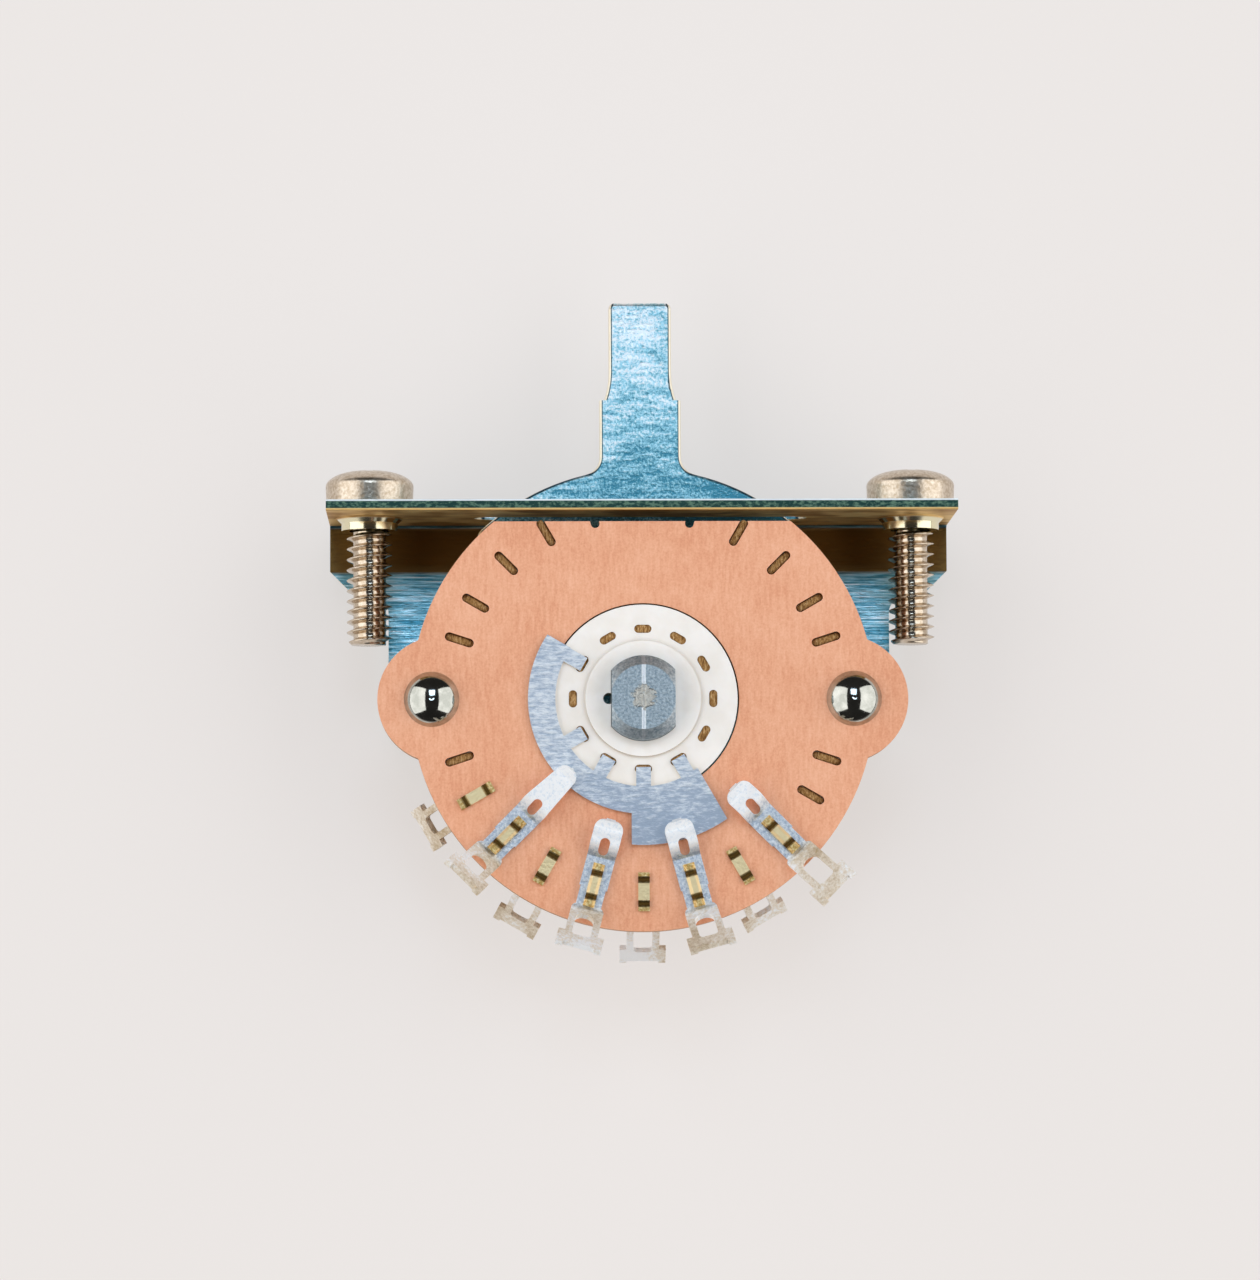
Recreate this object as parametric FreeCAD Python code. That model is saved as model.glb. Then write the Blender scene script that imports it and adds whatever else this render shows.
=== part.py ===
# Three-way lever switch for guitar pickups: folded bracket, wafer with contacts, turning rotor, detent.
# Origin: middle of the line through the two mounting holes, on the top face of the flange.
# X runs along that line, Z points up the lever out of the panel, and the wafer stands on the -Y side.
import FreeCAD, Part
import os
from math import asin, atan2, cos, hypot, radians, sin, tan
from FreeCAD import Matrix, Vector

# Driving sizes, in millimetres and degrees.
near = 0.01                   # points closer than this count as one
full_turn = 360.0
spare = 1.0                   # cutting shapes reach this far past the piece they cut

# Bracket: one folded sheet
sheet_t = 0.8                 # sheet thickness
flange_long = 47.6
flange_deep = 12.7
bend_r = 0.8                  # bend radius at the middle of the sheet
hole_spacing = 41.275         # between the mounting holes, one inch and five eighths
collar_out_r = 2.15           # collar drawn down round each mounting hole
collar_drop = 0.95
collar_flare = 0.4
lever_slot_long = 25.4
lever_slot_wide = 2.0
shoulder_drop = 4.3           # full width of the back plate ends this far down
shoulder_chamfer = 2.2
waist_wide = 38.6             # the narrow part of the back plate
waist_in_r = 1.0
ear_r = 3.4                   # rounding of the back plate below each rivet
tongue_wide = 12.0
tongue_margin = 2.2           # plate left under the guide slot
plate_corner_r = 1.6

# Switching axis and riveted stack
axis_drop = 15.05             # from the flange's top face down to the switching axis
rivet_spacing = 31.75
wafer_t = 1.6
spacer_long = 9.75            # from the wafer's back to the back plate
spacer_out_r = 2.2
rivet_shank_r = 1.2
rivet_head_r = 2.08
rivet_head_h = 1.25
rivet_tail_r = 1.8
rivet_tail_h = 0.9
rivet_play = 0.05             # between a rivet and each hole it fills

# Screws
screw_r = 1.75                # outside of the thread, below the collar
screw_neck_r = 1.5            # in the tapped collar both threads are drawn at their middle radius
screw_head_r = 3.35
screw_head_side = 2.2         # side of the head, before its rim is rounded
screw_head_crown = 0.65       # domed part above it
screw_rim_r = 1.2
screw_long = 10.45
screw_point = 0.3             # chamfer at the tip
screw_play = 0.05

# Wafer
wafer_top_gap = 0.83          # between its flat top edge and the flange
lobe_r = 4.75
lobe_off = 15.2               # centre of each lobe from the axis
rotor_play = 0.12             # between the rotor and the hole it turns in
slot_long = 2.25
slot_wide = 0.66
slot_step = 15.0              # angle from slot to slot
slot_shift = 3.0              # the slots beside a rivet move away from it by this angle

# Rotor and its blades
rotor_r = 7.1
rotor_proud = 0.15            # rotor stands this far out of both wafer faces
hub_r = 4.35
hub_h = 0.3
tab_circle_r = 5.27
tab_hole_long = 1.3
tab_hole_wide = 0.62
tab_step = 30.0
notch_r = 0.42
blade_t = 0.25
ring_in_r = 6.6
ring_out_r = 8.65
ring_end_margin = 0.6            # plate left beyond the ring's end angles
sweep_from = 150.0            # the front blade's ring runs clockwise from here
sweep_to = 300.0
wide_to = 180.0               # its wide part ends here
front_tabs = (150.0, 180.0, 210.0, 240.0, 300.0)
rear_tabs = (180.0, 210.0, 240.0, 300.0)
wide_r = 11.0
wide_margin = 0.9                # its straight sides lie this far outside those angles
tab_wide = 1.1
tab_depth = 0.7

# Shaft and lever
shaft_r = 3.175
shaft_flat = 4.76             # across the two flats
shaft_front = 1.75            # shaft stands this far out of the rotor hub
shaft_chamfer = 0.75
shaft_play = 0.04
collar_r = 4.0
end_play = 0.1                # free play along the shaft at each shoulder
journal_r = 2.38
journal_play = 0.05
washer_r = 4.2
washer_t = 0.5
peen_r = 3.1
peen_h = 0.8
lever_t = 1.3
blade_tip = 15.7              # top of the lever above the flange
blade_wide = 4.76
blade_shoulder = 8.2          # where the lever widens, above the flange
shank_wide = 6.2
shoulder_ledge = 0.35
shoulder_sweep = 2.2          # the tip's sides curve out over this height above the shoulder
tip_r = 0.45
hub_corner_r = 1.5
sector_r = 18.05
sector_half = 45.0            # half angle of the sector that fills the slot
flare_r = 1.4
sector_corner_r = 0.8
edge_roll = 0.3               # rolled edge on the punched front face

# Detent
detent_r = 8.0                # rim of the lever's lower half
detent_step = 30.0            # angle from one switch position to the next
notch_depth = 0.35
roller_r = 2.0
roller_half = 1.2
roller_play = 0.05
rim_play = 0.04               # between the roller and the rim it passes
pin_r = 0.8
pin_play = 0.05
pin_travel = 0.6
pin_head_r = 1.5
pin_head_t = 0.55
pin_flange_r = 2.1
pin_flange_t = 0.6
pin_peen = 0.35               # the pin's front end is spread by this
pin_peen_t = 0.4
roller_bevel = 0.2
groove_r = 1.2
groove_wide = 2.6
spring_r = 1.15               # outside of the coil
spring_wire = 0.4
spring_play = 0.05
hook_reach = 1.2              # from the hook round a spacer to the first coil

# Contacts: spring clips with a solder terminal, alike on both faces of the wafer
contact_t = 0.45
contact_bend_r = 0.35
contact_lift = 0.04           # between a clip's nose and the blade under it
nose_in = 1.5                 # from the blade's wide rim in to the tip of a short clip
common_nose_in = 1.1          # from the ring's rim in to the tip of the long clip
touch_back = 0.7              # from the tip to where the clip touches
nose_long = 1.7               # from a short clip's tip to its raised knee
knee_lift = 0.75
knee_fall = 1.05              # from the knee out to where the clip lies flat on the wafer
flat_to_slot = 2.25           # from there to the middle of the wafer's slot
slot_to_bend = 1.9            # from the slot to the bend line
bend_to_rim = 1.06            # from the bend line to the wafer's rim
terminal_long = 5.0           # from the bend line to the end, along the sheet
front_tilts = (36.0, 52.5, 52.5, 55.5)
rear_tilts = (60.0, 52.5, 52.5, 57.5)
clip_half = 1.07
tip_lift = 0.35
tip_round = 0.75
common_half = 0.85            # half width at the long clip's tip
plan_h = 8.0                  # taller than any clip, for cutting plans
nose_half = 1.1
neck_half = 1.24
neck_corner_r = 0.3
step_past = 0.2               # the clip is a little narrower from here past the slot
step_in = 0.1
eye_past = 0.35               # the eye lies this far past the knee
eye_long = 1.3
eye_wide = 0.75
window_start = 0.88           # from the bend line to the window's arched end
window_half = 0.72
window_corner_r = 0.3
bar_long = 1.55               # the terminal's wide end bar
bar_half = 1.74
bar_notch = 0.3               # the window reaches this far into the bar
bar_recess = 0.2              # the bar's end is set back between its feet
bar_foot = 0.55
short_clips = (135.0, 165.0, 195.0)
common_clip = 225.0
rear_turn = 15.0              # the rear side is set round by this angle

# Staples
stem_half = 0.26
stem_long = 1.8
rib_long = 3.3                # along the clip
rib_half = 0.43
rib_h = 0.5
rib_bevel = 0.22
clinch_long = 2.9
clinch_h = 0.25

# Places that follow from the sizes above
wafer_back = flange_deep / 2 - sheet_t - spacer_long
wafer_front = wafer_back - wafer_t
plate_front = flange_deep / 2 - sheet_t
plate_back = flange_deep / 2
rotor_front = wafer_front - rotor_proud
rotor_back = wafer_back + rotor_proud
shaft_tip = rotor_front - hub_h - shaft_front
collar_back = plate_front - end_play
lever_back = lever_t / 2
washer_front = plate_back + end_play
peen_front = washer_front + washer_t + end_play
wafer_flat = axis_drop - sheet_t - wafer_top_gap
nose_r = wide_r - nose_in
common_nose_r = ring_out_r - common_nose_in
knee_r = nose_r + nose_long
eye_r = knee_r + eye_past
clamp_r = knee_r + knee_fall
slot_circle_r = clamp_r + flat_to_slot
step_r = slot_circle_r + step_past
bend_line_r = slot_circle_r + slot_to_bend
wafer_r = bend_line_r + bend_to_rim
pin_z = -axis_drop - detent_r - rim_play - roller_r
pin_head_front = plate_back + end_play
pin_flange_back = plate_front - end_play
groove_back = pin_flange_back - pin_flange_t
groove_front = groove_back - groove_wide
pin_flange_front = groove_front - pin_flange_t
pin_neck = -roller_half - end_play
pin_tip = pin_neck - pin_peen_t
spring_y = (groove_back + groove_front) / 2
spring_under = groove_r + spring_play + spring_r
y_axis = Vector(0, 1, 0)


def spot(r, clock, across=0.0):
    """(x, z) at radius r and clock angle from the switching axis, moved across towards later angles."""
    c, s = cos(radians(clock)), sin(radians(clock))
    return r * s + across * c, -axis_drop + r * c - across * s


def rod(r, y0, y1, x=0.0, z=-axis_drop):
    """Cylinder along Y between two planes."""
    return Part.makeCylinder(r, y1 - y0, Vector(x, y0, z), y_axis)


def plate(points, y0, y1):
    """Straight-sided plate whose outline is given as (x, z) pairs, between two Y planes."""
    ring = [Vector(x, y0, z) for x, z in points]
    return Part.Face(Part.makePolygon(ring + ring[:1])).extrude(Vector(0, y1 - y0, 0))


def upright(solid, spots):
    """Edges along Y that stand at the given (x, z) spots."""
    found = []
    for edge in solid.Edges:
        ends = [v.Point for v in edge.Vertexes]
        if len(ends) == 2 and hypot(ends[0].x - ends[1].x, ends[0].z - ends[1].z) < near:
            if any(hypot(ends[0].x - x, ends[0].z - z) < near for x, z in spots):
                found.append(edge)
    return found


def revolved(edges, centre, direction):
    """Solid of revolution of a closed profile in (radius, height) about a line through centre."""
    solid = Part.Face(Part.Wire(edges)).revolve(Vector(0, 0, 0), Vector(0, 0, 1), full_turn)
    turn = FreeCAD.Rotation(Vector(0, 0, 1), direction)
    return solid.transformed(FreeCAD.Placement(centre, turn).toMatrix())


def dome(r, h, centre, direction):
    """Ball cap of foot radius r and height h on a flat foot."""
    ball_r = (r * r + h * h) / (2 * h)
    half = asin(r / ball_r) / 2
    top = Vector(0, 0, h)
    middle = Vector(ball_r * sin(half), 0, h - ball_r + ball_r * cos(half))
    foot = Vector(r, 0, 0)
    inside = Vector(0, 0, 0)
    return revolved([Part.Arc(top, middle, foot).toShape(), Part.makeLine(foot, inside),
                     Part.makeLine(inside, top)], centre, direction)


def round_slot(length, width, height, at=0.0):
    """Slot along local X with round ends, centred at a distance, rising from 0 to height."""
    half = length / 2 - width / 2
    body = Part.makeBox(2 * half, width, height, Vector(at - half, -width / 2, 0))
    ends = [Part.makeCylinder(width / 2, height, Vector(at + x, 0, 0)) for x in (-half, half)]
    return body.fuse(ends).removeSplitter()


def bent_strip(points, thickness, radius, width):
    """Sheet strip: its middle line in (u, w) is bent at each inner point, and spread evenly over v."""
    line = [Vector(u, 0, w) for u, w in points]
    along = [(b - a).normalize() for a, b in zip(line, line[1:])]
    normal = [Vector(-d.z, 0, d.x) for d in along]
    sides = []
    for s in (1, -1):
        shift = s * thickness / 2
        start = line[0] + normal[0] * shift
        edges = []
        for i in range(1, len(line) - 1):
            before, after = along[i - 1], along[i]
            turn = atan2(before.x * after.z - before.z * after.x, before.dot(after))
            back = radius * tan(abs(turn) / 2)
            side = 1 if turn > 0 else -1
            centre = line[i] - before * back + normal[i - 1] * (side * radius)
            a = line[i] - before * back + normal[i - 1] * shift
            b = line[i] + after * back + normal[i] * shift
            reach = radius - side * shift
            middle = centre + (before - after).normalize() * reach
            edges += [Part.makeLine(start, a), Part.Arc(a, middle, b).toShape()]
            start = b
        end = line[-1] + normal[-1] * shift
        edges.append(Part.makeLine(start, end))
        sides.append((line[0] + normal[0] * shift, edges, end))
    (start_a, top, end_a), (start_b, bottom, end_b) = sides
    loop = top + [Part.makeLine(end_a, end_b)] + bottom[::-1] + [Part.makeLine(start_b, start_a)]
    solid = Part.Face(Part.Wire(loop)).extrude(Vector(0, width, 0))
    return solid.translated(Vector(0, -width / 2, 0))


def on_wafer(solid, clock, face_y, outward):
    """Carry a piece built in (radius, across, away from the wafer) to its clock angle on a wafer face."""
    u = Vector(sin(radians(clock)), 0, cos(radians(clock)))
    w = Vector(0, outward, 0)
    v = w.cross(u)
    return solid.transformed(Matrix(u.x, v.x, w.x, 0, u.y, v.y, w.y, face_y,
                                    u.z, v.z, w.z, -axis_drop, 0, 0, 0, 1))


def double_d(r, across, y0, y1):
    """Round bar along Y with two flats, left and right."""
    block = Part.makeBox(across, y1 - y0, 4 * r, Vector(-across / 2, y0, -axis_drop - 2 * r))
    return rod(r, y0, y1).common(block)


def bracket():
    """Flange and back plate folded from one sheet, with drawn collars, lever slot and bearing hole."""
    half = flange_long / 2
    waist = waist_wide / 2
    tongue = tongue_wide / 2
    waist_z = -shoulder_drop - shoulder_chamfer
    ear_z = -axis_drop - ear_r
    ear_x = rivet_spacing / 2 - ear_r
    tongue_z = pin_z - pin_travel - pin_r - tongue_margin
    middle_y = plate_back - sheet_t / 2
    fold = bent_strip([(-flange_deep / 2, -sheet_t / 2), (middle_y, -sheet_t / 2), (middle_y, tongue_z)],
                      sheet_t, bend_r, flange_long)
    fold.rotate(Vector(0, 0, 0), Vector(0, 0, 1), 90)
    side = [(half, sheet_t), (half, -shoulder_drop), (half - shoulder_chamfer, waist_z), (waist, waist_z),
            (waist, ear_z), (ear_x, ear_z), (tongue, -axis_drop - detent_r), (tongue, tongue_z)]
    outline = plate(side + [(-x, z) for x, z in reversed(side)], -flange_deep, flange_deep)
    rounds = [(waist, waist_z, waist_in_r), (waist, ear_z, ear_r - near), (ear_x, ear_z, plate_corner_r),
              (tongue, -axis_drop - detent_r, plate_corner_r), (tongue, tongue_z, plate_corner_r)]
    for x, z, r in rounds:
        outline = outline.makeFillet(r, upright(outline, [(x, z), (-x, z)]))
    slot = round_slot(lever_slot_long, lever_slot_wide, 3 * sheet_t).translated(Vector(0, 0, -2 * sheet_t))
    guide = Part.makeBox(2 * (pin_r + pin_play), flange_deep, pin_travel,
                         Vector(-pin_r - pin_play, 0, pin_z - pin_travel))
    holes = [slot, guide, rod(journal_r + journal_play, 0, flange_deep)]
    holes += [rod(pin_r + pin_play, 0, flange_deep, 0, z) for z in (pin_z, pin_z - pin_travel)]
    low = -sheet_t - collar_drop
    root_r = collar_out_r + collar_flare
    profile = [(0, -sheet_t / 2), (root_r, -sheet_t / 2), (root_r, -sheet_t),
               (collar_out_r, -sheet_t - collar_flare), (collar_out_r, low), (0, low)]
    corners = [Vector(r, 0, h) for r, h in profile]
    collars = []
    for x in (-hole_spacing / 2, hole_spacing / 2):
        loop = Part.makePolygon(corners + corners[:1])
        collars.append(revolved(loop.Edges, Vector(x, 0, 0), Vector(0, 0, 1)))
        holes.append(Part.makeCylinder(screw_neck_r + screw_play, screw_long, Vector(x, 0, low - spare)))
    holes += [rod(rivet_shank_r + rivet_play, 0, flange_deep, side * rivet_spacing / 2) for side in (-1, 1)]
    return fold.common(outline).fuse(collars).cut(holes).removeSplitter()


def screw(x):
    """Pan-head screw with its head on the flange; the thread is left plain."""
    neck = Part.makeCylinder(screw_neck_r, screw_long - screw_point, Vector(0, 0, screw_point - screw_long))
    thread_top = -sheet_t - collar_drop - screw_play
    shank = Part.makeCylinder(screw_r, screw_long + thread_top, Vector(0, 0, -screw_long))
    end = [e for e in shank.Edges if e.BoundBox.ZMax < near - screw_long]
    shank = shank.makeChamfer(screw_point, end)
    side = Part.makeCylinder(screw_head_r, screw_head_side)
    head = side.fuse(dome(screw_head_r, screw_head_crown, Vector(0, 0, screw_head_side), Vector(0, 0, 1)))
    rim = [e for e in head.Edges if abs(e.BoundBox.ZMin - screw_head_side) < near
           and abs(e.BoundBox.ZMax - screw_head_side) < near]
    head = head.makeFillet(screw_rim_r, rim)
    return shank.fuse([neck, head]).removeSplitter().translated(Vector(x, 0, 0))


def rivet(x):
    """Rivet through wafer, spacer and back plate: domed head in front, formed tail behind."""
    head = dome(rivet_head_r, rivet_head_h, Vector(x, wafer_front, -axis_drop), -y_axis)
    tail = dome(rivet_tail_r, rivet_tail_h, Vector(x, plate_back, -axis_drop), y_axis)
    return rod(rivet_shank_r, wafer_front, plate_back, x).fuse([head, tail]).removeSplitter()


def spacer(x):
    bore = rod(rivet_shank_r + rivet_play, wafer_back, plate_front, x)
    return rod(spacer_out_r, wafer_back, plate_front, x).cut(bore)


def slot_angles():
    """Clock angles of the wafer's slots: one each step, with none at the rivets or at the very top."""
    angles = []
    for i in range(1, round(full_turn / slot_step)):
        clock = i * slot_step
        off = clock % (full_turn / 2) - full_turn / 4
        if abs(off) > slot_step + near:
            angles.append(clock)
        elif abs(off) > near:
            angles.append(clock + (slot_shift if off > 0 else -slot_shift))
    return angles


def wafer():
    """Punched board: a disc with a rivet lobe at each side, a flat top and a ring of radial slots."""
    body = rod(wafer_r, wafer_front, wafer_back)
    body = body.fuse([rod(lobe_r, wafer_front, wafer_back, x) for x in (-lobe_off, lobe_off)])
    high = Part.makeBox(2 * wafer_r, wafer_t, wafer_r, Vector(-wafer_r, wafer_front, wafer_flat - axis_drop))
    cuts = [high, rod(rotor_r + rotor_play, wafer_front, wafer_back)]
    cuts += [rod(rivet_shank_r + rivet_play, wafer_front, wafer_back, x)
             for x in (-rivet_spacing / 2, rivet_spacing / 2)]
    slot = round_slot(slot_long, slot_wide, wafer_t, slot_circle_r)
    cuts += [on_wafer(slot, clock, wafer_front, 1) for clock in slot_angles()]
    return body.cut(cuts).removeSplitter()


def rotor():
    """Moulded rotor: a disc with a low hub on each face, oval holes all round and a double-D bore."""
    body = rod(rotor_r, rotor_front, rotor_back)
    hub = rod(hub_r, rotor_front - hub_h, rotor_back + hub_h)
    low, high = rotor_front - spare, rotor_back + spare
    bore = double_d(shaft_r + shaft_play, shaft_flat + 2 * shaft_play, low, high)
    notch = rod(notch_r, low, high, -shaft_flat / 2 - notch_r / 2)
    hole = round_slot(tab_hole_long, tab_hole_wide, rotor_back - rotor_front)
    hole.rotate(Vector(0, 0, 0), Vector(0, 0, 1), 90)
    hole.translate(Vector(tab_circle_r, 0, 0))
    holes = [on_wafer(hole, i * tab_step, rotor_front, 1) for i in range(round(full_turn / tab_step))]
    return body.fuse(hub).cut(holes + [bore, notch]).removeSplitter()


def rotor_blade(tabs, turn, face_y, outward):
    """Ring blade with a wide part, set round by turn, and tabs bent into the rotor's holes."""
    start, wide_end, end = sweep_from + turn, wide_to + turn, sweep_to + turn
    y0, y1 = sorted((face_y, face_y + outward * blade_t))
    far = 2 * wide_r
    bore = rod(ring_in_r, y0, y1)
    around = start + full_turn - end
    round_the_top = [spot(far, end + around * part) for part in (0.25, 0.5, 0.75)]
    gap = plate([spot(0, end, ring_end_margin), spot(far, end, ring_end_margin)] + round_the_top
                + [spot(far, start, -ring_end_margin), spot(0, start, -ring_end_margin)], y0, y1)
    fan = plate([spot(0, start, -wide_margin), spot(far, start, -wide_margin),
                 spot(far, wide_end, wide_margin), spot(0, wide_end, wide_margin)], y0, y1)
    ring = rod(ring_out_r, y0, y1).cut([bore, gap])
    body = ring.fuse(rod(wide_r, y0, y1).cut(bore).common(fan))
    hook_y0, hook_y1 = sorted((face_y - outward * tab_depth, face_y + outward * blade_t))
    tail_r = tab_circle_r - blade_t / 2
    pieces = []
    for clock in tabs:
        pieces.append(bar(clock, tail_r, ring_in_r + blade_t, tab_wide / 2, y0, y1))
        pieces.append(bar(clock, tail_r, tail_r + blade_t, tab_wide / 2, hook_y0, hook_y1))
    return body.fuse(pieces).removeSplitter()


def bar(clock, r0, r1, half, y0, y1):
    """Straight bar that lies along a clock angle, between two radii and two Y planes."""
    return plate([spot(r0, clock, -half), spot(r1, clock, -half), spot(r1, clock, half),
                  spot(r0, clock, half)], y0, y1)


def shaft():
    """Turned shaft with two flats in front, a collar behind the lever, and a peened journal."""
    front = rod(shaft_r, shaft_tip, lever_back)
    front = front.makeChamfer(shaft_chamfer, [e for e in front.Edges if e.BoundBox.YMax < shaft_tip + near])
    front = front.common(double_d(2 * shaft_r, shaft_flat, shaft_tip, lever_back))
    collar = rod(collar_r, lever_back, collar_back)
    journal = rod(journal_r, collar_back, peen_front)
    peen = dome(peen_r, peen_h, Vector(0, peen_front, -axis_drop), y_axis)
    return front.fuse([collar, journal, peen]).removeSplitter()


def thrust_washer():
    bore = rod(journal_r + journal_play, washer_front, washer_front + washer_t)
    return rod(washer_r, washer_front, washer_front + washer_t).cut(bore)


def lever():
    """Punched lever: knob tip, shank, slot-filling sector, and a lower rim with three shallow notches."""
    y0, y1 = -lever_t / 2, lever_t / 2
    tip, shank = blade_wide / 2, shank_wide / 2
    spread = shank - shoulder_ledge
    sweep_r = (shoulder_sweep ** 2 + (spread - tip) ** 2) / (2 * (spread - tip))
    half_turn = asin(shoulder_sweep / sweep_r) / 2
    rise = blade_shoulder + shoulder_sweep

    def bend(side):
        low = Vector(side * spread, y0, blade_shoulder)
        middle = Vector(side * (tip + sweep_r * (1 - cos(half_turn))), y0, rise - sweep_r * sin(half_turn))
        return Part.Arc(low, middle, Vector(side * tip, y0, rise)).toShape()

    corners = [Vector(tip, y0, rise), Vector(tip, y0, blade_tip), Vector(-tip, y0, blade_tip),
               Vector(-tip, y0, rise)]
    edges = [bend(1)] + [Part.makeLine(a, b) for a, b in zip(corners, corners[1:])] + [bend(-1)]
    edges.append(Part.makeLine(Vector(-spread, y0, blade_shoulder), Vector(spread, y0, blade_shoulder)))
    blade = Part.Face(Part.Wire(edges)).extrude(Vector(0, y1 - y0, 0))
    blade = blade.makeFillet(tip_r, upright(blade, [(tip, blade_tip), (-tip, blade_tip)]))
    blade = blade.makeFillet(edge_roll, [e for e in blade.Edges if e.BoundBox.YMax < y0 + near
                                         and e.BoundBox.ZMax > blade_shoulder + near])
    post = plate([(shank, -axis_drop), (shank, blade_shoulder), (-shank, blade_shoulder),
                  (-shank, -axis_drop)], y0, y1)
    far = 2 * sector_r
    wedge = plate([spot(0, 0), spot(far, -sector_half), spot(far, 0), spot(far, sector_half)], y0, y1)
    sector = rod(sector_r, y0, y1).common(wedge)
    body = sector.fuse([post, rod(detent_r, y0, y1)]).removeSplitter()
    flare = (sector_r ** 2 - shank ** 2) ** 0.5 - axis_drop
    body = body.makeFillet(flare_r, upright(body, [(shank, flare), (-shank, flare)]))
    for r, corner_r in ((sector_r, sector_corner_r), (detent_r, hub_corner_r)):
        body = body.makeFillet(corner_r, upright(body, [spot(r, c) for c in (-sector_half, sector_half)]))
    body = body.makeFillet(edge_roll, [e for e in body.Edges if e.BoundBox.YMax < y0 + near
                                       and e.BoundBox.ZMin < blade_shoulder - near])
    notch_off = detent_r - notch_depth + roller_r
    cuts = [rod(roller_r, y0, y1, *spot(notch_off, 180 + k * detent_step)) for k in (-1, 0, 1)]
    cuts.append(double_d(shaft_r + shaft_play, shaft_flat + 2 * shaft_play, y0, y1))
    return body.fuse(blade).cut(cuts).removeSplitter()


def detent_pin():
    """Pin that slides in the back plate's slot, with a groove for the spring and a peened front end."""
    steps = [(pin_r, -roller_half - end_play, pin_head_front), (pin_r + pin_peen, pin_tip, pin_neck),
             (pin_flange_r, pin_flange_front, groove_front), (groove_r, groove_front, groove_back),
             (pin_flange_r, groove_back, pin_flange_back),
             (pin_head_r, pin_head_front, pin_head_front + pin_head_t)]
    parts = [rod(r, y0, y1, 0, pin_z) for r, y0, y1 in steps]
    return parts[0].fuse(parts[1:]).removeSplitter()


def detent_roller():
    bore = rod(pin_r + roller_play, -roller_half, roller_half, 0, pin_z)
    roller = rod(roller_r, -roller_half, roller_half, 0, pin_z)
    rims = [e for e in roller.Edges if e.BoundBox.YLength < near]
    return roller.makeChamfer(roller_bevel, rims).cut(bore)


def detent_spring():
    """Extension spring as the outer shape of its coil, under the pin, with a hook round each spacer."""
    post_x = rivet_spacing / 2
    fall = -axis_drop - pin_z
    angle = atan2(fall, post_x) + asin(spring_under / hypot(post_x, fall))
    down = Vector(cos(angle), 0, sin(angle))
    leave = Vector(spring_under * sin(angle), 0, pin_z - spring_under * cos(angle))
    post = Vector(post_x, 0, -axis_drop)
    hook_r = spacer_out_r + spring_play + spring_wire / 2
    end = leave + down * ((post - leave).dot(down) - hook_r - hook_reach)
    left_leave = Vector(-leave.x, 0, leave.z)
    left_end = Vector(-end.x, 0, end.z)
    path = Part.Wire([Part.makeLine(left_end, left_leave),
                      Part.Arc(left_leave, Vector(0, 0, pin_z - spring_under), leave).toShape(),
                      Part.makeLine(leave, end)])
    coil_end = Part.Wire(Part.makeCircle(spring_r, left_end, Vector(down.x, 0, -down.z)))
    coil = path.makePipeShell([coil_end], True, False)
    pieces = []
    for side, foot in ((1, end), (-1, left_end)):
        aim = Vector(side * down.x, 0, down.z)
        centre = Vector(side * post_x, 0, -axis_drop)
        reach = (centre - foot).dot(aim) - hook_r
        pieces.append(Part.makeCylinder(spring_wire / 2, reach, foot, aim))
        pieces.append(Part.makeTorus(hook_r, spring_wire / 2, centre, y_axis))
    return coil.fuse(pieces).translated(Vector(0, spring_y, 0))


def pad(u0, u1, half0, half1):
    """Flat patch of a contact's plan, straight-sided from one half width to the other."""
    corners = [Vector(u, v, -spare) for u, v in ((u0, -half0), (u1, -half1), (u1, half1), (u0, half0))]
    return Part.Face(Part.makePolygon(corners + corners[:1])).extrude(Vector(0, 0, plan_h))


def uprights_at(solid, u):
    """Edges that stand on a clip's plan at distance u from the axis."""
    return [e for e in solid.Edges if abs(e.Vertexes[0].X - u) < near and e.BoundBox.ZLength > plan_h - near]


def contact_plan(tip_r, tip_half):
    """Outline of a clip from its rounded tip to just past the bend line."""
    round_end = tip_r + tip_round
    corners = [Part.makeCylinder(tip_round, plan_h, Vector(round_end, v, -spare))
               for v in (tip_round - tip_half, tip_half - tip_round)]
    return pad(round_end, eye_r, tip_half, nose_half).fuse(
        corners + [pad(tip_r - spare, round_end, tip_half - tip_round, tip_half - tip_round),
                   pad(eye_r, clamp_r, nose_half, clip_half), pad(clamp_r, step_r, clip_half, clip_half),
                   pad(step_r, bend_line_r + contact_t, clip_half - step_in, clip_half - step_in)])


def terminal_plan():
    """Outline of a solder terminal as if it lay flat, and its window and end recess."""
    bar_start = bend_line_r + terminal_long - bar_long
    end = bend_line_r + terminal_long
    neck = pad(bend_line_r, bar_start + bar_notch, neck_half, neck_half)
    neck = neck.makeFillet(neck_corner_r, uprights_at(neck, bend_line_r))
    arch_u = bend_line_r + window_start + window_half
    window = pad(arch_u, bar_start + bar_notch, window_half, window_half)
    window = window.makeFillet(window_corner_r, uprights_at(window, bar_start + bar_notch))
    arch = Part.makeCylinder(window_half, plan_h, Vector(arch_u, 0, -spare))
    recess = pad(end - bar_recess, end + spare, bar_half - bar_foot, bar_half - bar_foot)
    return neck.fuse(pad(bar_start, end + spare, bar_half, bar_half)), window.fuse([arch, recess])


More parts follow.
